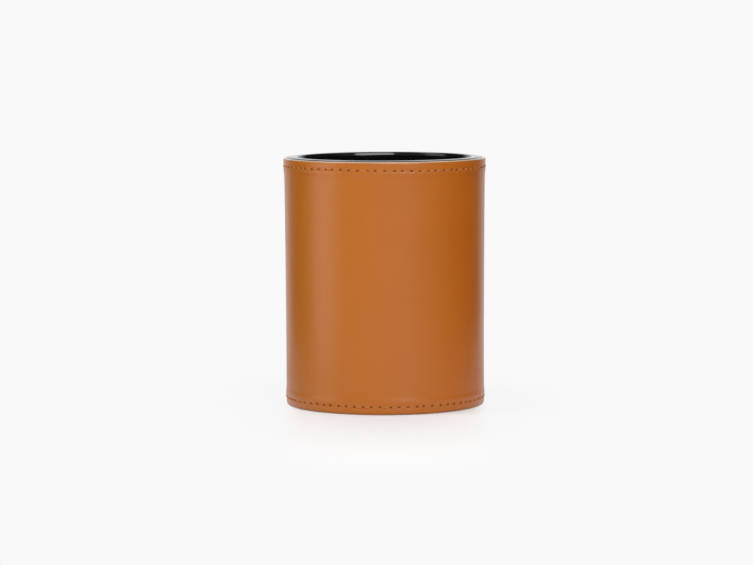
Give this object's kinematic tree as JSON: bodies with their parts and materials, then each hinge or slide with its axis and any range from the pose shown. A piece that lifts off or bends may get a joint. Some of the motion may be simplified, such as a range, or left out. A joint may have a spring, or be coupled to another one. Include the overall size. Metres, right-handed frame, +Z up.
{
  "type": "pen cup",
  "caption": "Round, slightly tapered desk cup for pens: a black moulded tumbler inside a stitched tan leather sleeve, standing on a thin dark base pad.",
  "frame": {"origin": "centre of the base pad's underside, which is the centre of the bottom of the bounding box", "axes": "+Z up along the cup's axis, towards its open mouth; the leather's upright seam is at the back, on the +Y side, and the front is the -Y side"},
  "size_m": [0.081, 0.081, 0.0991],
  "materials": {
    "gloss_black_plastic": "polished black moulded plastic",
    "tan_leather": "smooth tan leather with a fine grain and a satin finish",
    "tan_thread": "tan sewing thread",
    "greyboard": "plain greyboard",
    "fibre_backing": "thin pressed fibre sheet",
    "black_felt": "short dark felt"
  },
  "bodies": {
    "root": {"inner_cup": "gloss_black_plastic", "core_tube": "greyboard", "leather_cover": "tan_leather", "backing_sheet": "fibre_backing", "top_stitching": "tan_thread", "bottom_stitching": "tan_thread", "back_seam_stitching": "tan_thread", "base_board": "greyboard", "base_pad": "black_felt"}
  },
  "joints": []
}
